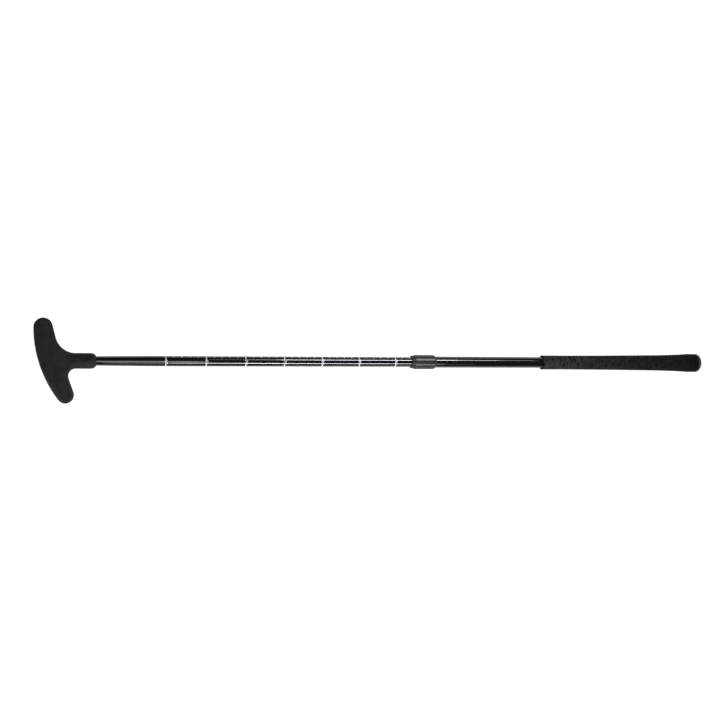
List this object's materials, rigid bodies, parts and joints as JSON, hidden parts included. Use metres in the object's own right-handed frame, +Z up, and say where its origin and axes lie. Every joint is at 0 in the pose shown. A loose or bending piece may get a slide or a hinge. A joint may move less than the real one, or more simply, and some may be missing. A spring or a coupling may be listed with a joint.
{
  "type": "telescopic two-way putter",
  "caption": "Telescopic two-way putter with a crescent rubber head, a twist-locking tubular shaft with a length scale, and a tapered rubber grip.",
  "frame": {"origin": "on the surface the club lies on, under the middle of its overall box at the shaft's resting length", "axes": "+X along the shaft from the head to the butt of the grip, +Y across the shaft in the plane of the head towards its longer arm, +Z up, square to the head's two hitting faces"},
  "size_m": [0.922, 0.1026, 0.026],
  "materials": {
    "head_rubber": "matt charcoal moulded rubber with a fine grain",
    "cast_core": "as-cast zinc alloy",
    "bright_steel": "zinc-plated steel",
    "shaft_lacquer": "high-gloss black lacquer on steel tube",
    "scale_ink": "thin silver-white printed ink",
    "nylon": "natural nylon",
    "ring_rubber": "soft black rubber",
    "bush_nylon": "black nylon",
    "collar_plastic": "satin charcoal moulded plastic",
    "tape": "double-sided paper tape",
    "grip_rubber": "matt charcoal rubber with fine cross ribs",
    "cap_rubber": "smooth black rubber"
  },
  "bodies": {
    "grip_section": {"upper_tube": "shaft_lacquer", "collar": "collar_plastic", "guide_bush": "bush_nylon", "grip_tape": "tape", "grip": "grip_rubber", "grip_cap": "cap_rubber"},
    "lock_carriage": {"expander_sleeve": "nylon", "retaining_ring": "ring_rubber"},
    "head_section": {"head_cover": "head_rubber", "head_core": "cast_core", "shaft_pin": "bright_steel", "lower_tube": "shaft_lacquer", "lock_plug": "nylon", "lock_screw": "bright_steel", "thrust_washer": "bright_steel", "stop_nut": "bright_steel"},
    "lock_wedge": {"wedge_nut": "nylon"}
  },
  "joints": [
    {"name": "telescope_slide", "type": "slide", "parent": "grip_section", "child": "lock_carriage", "axis": [1, 0, 0], "range_m": [-0.045, 0.32]},
    {"name": "twist_lock", "type": "hinge", "parent": "lock_carriage", "child": "head_section", "pos_m": [0.0941, 0, 0.013], "axis": [-1, 0, 0], "range_deg": [0, 180]},
    {"name": "wedge_travel", "type": "slide", "parent": "lock_carriage", "child": "lock_wedge", "axis": [1, 0, 0], "range_m": [0, 0.0004]}
  ],
  "couplings": [
    {"joint": "wedge_travel", "follows": "twist_lock", "m_per_rad": 0.00012732}
  ]
}
